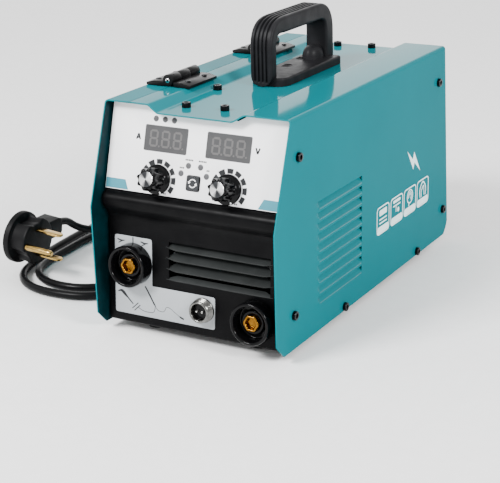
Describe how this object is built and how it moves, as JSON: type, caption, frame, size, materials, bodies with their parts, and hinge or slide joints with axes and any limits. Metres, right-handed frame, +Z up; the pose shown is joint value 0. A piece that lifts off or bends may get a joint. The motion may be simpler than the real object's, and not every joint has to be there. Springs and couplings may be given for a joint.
{
  "type": "mig welding machine",
  "caption": "Portable MIG welding machine: teal sheet-metal case, sloped white control panel, torch and ground sockets, carry handle, hinged spool door, wire feeder, mains cord and plug.",
  "frame": {"origin": "centre of the whole part's bounding box in plan, at floor level under the feet", "axes": "+X to the machine's right seen from the front, +Y from the control panel to the rear, +Z up"},
  "size_m": [0.3395, 0.4676, 0.2513],
  "materials": {
    "teal_enamel": "glossy",
    "black_plastic": "satin",
    "handle_plastic": "satin",
    "white_overlay": "satin",
    "label_foil": "satin",
    "display_lens": "polished",
    "light_guide": "polished",
    "brass": "polished",
    "plated_steel": "satin",
    "aluminium": "satin",
    "black_enamel": "satin",
    "circuit_board": "satin",
    "rubber": "matte",
    "cord_jacket": "satin"
  },
  "bodies": {
    "case": {"amp_display": "display_lens", "base_pan": "black_enamel", "cable_gland": "black_plastic", "carry_handle": "handle_plastic", "connection_label": "label_foil", "control_overlay": "white_overlay", "control_socket_insert": "black_plastic", "control_socket_shell": "plated_steel", "cover_screw": "black_enamel", "current_potentiometer": "plated_steel", "display_board": "circuit_board", "fan_frame": "black_plastic", "fan_guard": "black_enamel", "feeder_motor": "plated_steel", "feeder_plate": "aluminium", "foot_front_left": "rubber", "foot_front_right": "rubber", "foot_rear_left": "rubber", "foot_rear_right": "rubber", "front_hinge_leaf": "black_plastic", "front_hinge_pin": "plated_steel", "front_panel": "black_plastic", "ground_socket_collar": "black_plastic", "ground_socket_contact": "brass", "heat_sink": "aluminium", "indicator_light_guide": "light_guide", "main_cover": "teal_enamel", "partition_wall": "black_enamel", "plug_blade_lower": "brass", "plug_blade_upper": "brass", "plug_ground_pin": "brass", "power_board": "circuit_board", "power_cord": "cord_jacket", "power_plug": "rubber", "rear_hinge_leaf": "black_plastic", "rear_hinge_pin": "plated_steel", "rear_panel": "teal_enamel", "spool_axle": "black_plastic", "switch_housing": "black_plastic", "torch_socket_collar": "black_plastic", "torch_socket_contact": "brass", "transformer": "black_enamel", "volt_display": "display_lens", "voltage_potentiometer": "plated_steel"},
    "door": {"spool_door": "teal_enamel", "front_door_leaf": "black_plastic", "rear_door_leaf": "black_plastic"},
    "thumb_screw": {"door_thumb_screw": "black_plastic"},
    "current_dial": {"current_knob": "black_plastic"},
    "voltage_dial": {"voltage_knob": "black_plastic"},
    "mode_key": {"mode_button": "black_plastic"},
    "fan": {"fan_rotor": "black_plastic"},
    "rocker": {"power_rocker": "black_plastic"},
    "drive": {"drive_roll": "plated_steel"},
    "arm": {"pressure_arm": "black_plastic"},
    "bearing": {"pressure_roll": "plated_steel"},
    "tensioner": {"tension_knob": "black_plastic"},
    "spool": {"wire_spool": "black_plastic", "spool_wire": "plated_steel"},
    "nut": {"spool_nut": "black_plastic"}
  },
  "joints": [
    {"name": "door_swing", "type": "hinge", "parent": "case", "child": "door", "pos_m": [-0.062, 0, 0.2016], "axis": [0, 1, 0], "range_deg": [0, 105]},
    {"name": "thumb_screw_turn", "type": "hinge", "parent": "door", "child": "thumb_screw", "pos_m": [-0.086, 0, 0.014], "axis": [1, 0, 0], "range_deg": [0, 720]},
    {"name": "current_dial_turn", "type": "hinge", "parent": "case", "child": "current_dial", "pos_m": [-0.033, -0.15799, 0.13582], "axis": [0, -0.963, 0.2696], "range_deg": [0, 290]},
    {"name": "voltage_dial_turn", "type": "hinge", "parent": "case", "child": "voltage_dial", "pos_m": [0.033, -0.15799, 0.13582], "axis": [0, -0.963, 0.2696], "range_deg": [0, 290]},
    {"name": "mode_key_press", "type": "slide", "parent": "case", "child": "mode_key", "axis": [0, 0.963, -0.2696], "range_m": [0, 0.001], "stiffness_N_per_m": 300},
    {"name": "fan_spin", "type": "hinge", "parent": "case", "child": "fan", "pos_m": [0.032, 0.135, 0.1], "axis": [0, 1, 0], "continuous": true},
    {"name": "rocker_tilt", "type": "hinge", "parent": "case", "child": "rocker", "pos_m": [-0.045, 0.1506, 0.15], "axis": [-1, 0, 0], "range_deg": [0, 20]},
    {"name": "drive_spin", "type": "hinge", "parent": "case", "child": "drive", "pos_m": [-0.057, -0.085, 0.0468], "axis": [1, 0, 0], "continuous": true},
    {"name": "arm_lift", "type": "hinge", "parent": "case", "child": "arm", "pos_m": [-0.0483, -0.063, 0.074], "axis": [-1, 0, 0], "range_deg": [0, 50]},
    {"name": "bearing_spin", "type": "hinge", "parent": "arm", "child": "bearing", "pos_m": [-0.057, -0.085, 0.0733], "axis": [1, 0, 0], "continuous": true},
    {"name": "tensioner_turn", "type": "hinge", "parent": "arm", "child": "tensioner", "pos_m": [-0.0483, -0.106, 0.079], "axis": [0, 0, 1], "range_deg": [0, 1080]},
    {"name": "spool_spin", "type": "hinge", "parent": "case", "child": "spool", "pos_m": [-0.053, 0.06, 0.118], "axis": [1, 0, 0], "continuous": true},
    {"name": "nut_turn", "type": "hinge", "parent": "case", "child": "nut", "pos_m": [-0.079, 0.06, 0.118], "axis": [1, 0, 0], "range_deg": [0, 720]}
  ]
}
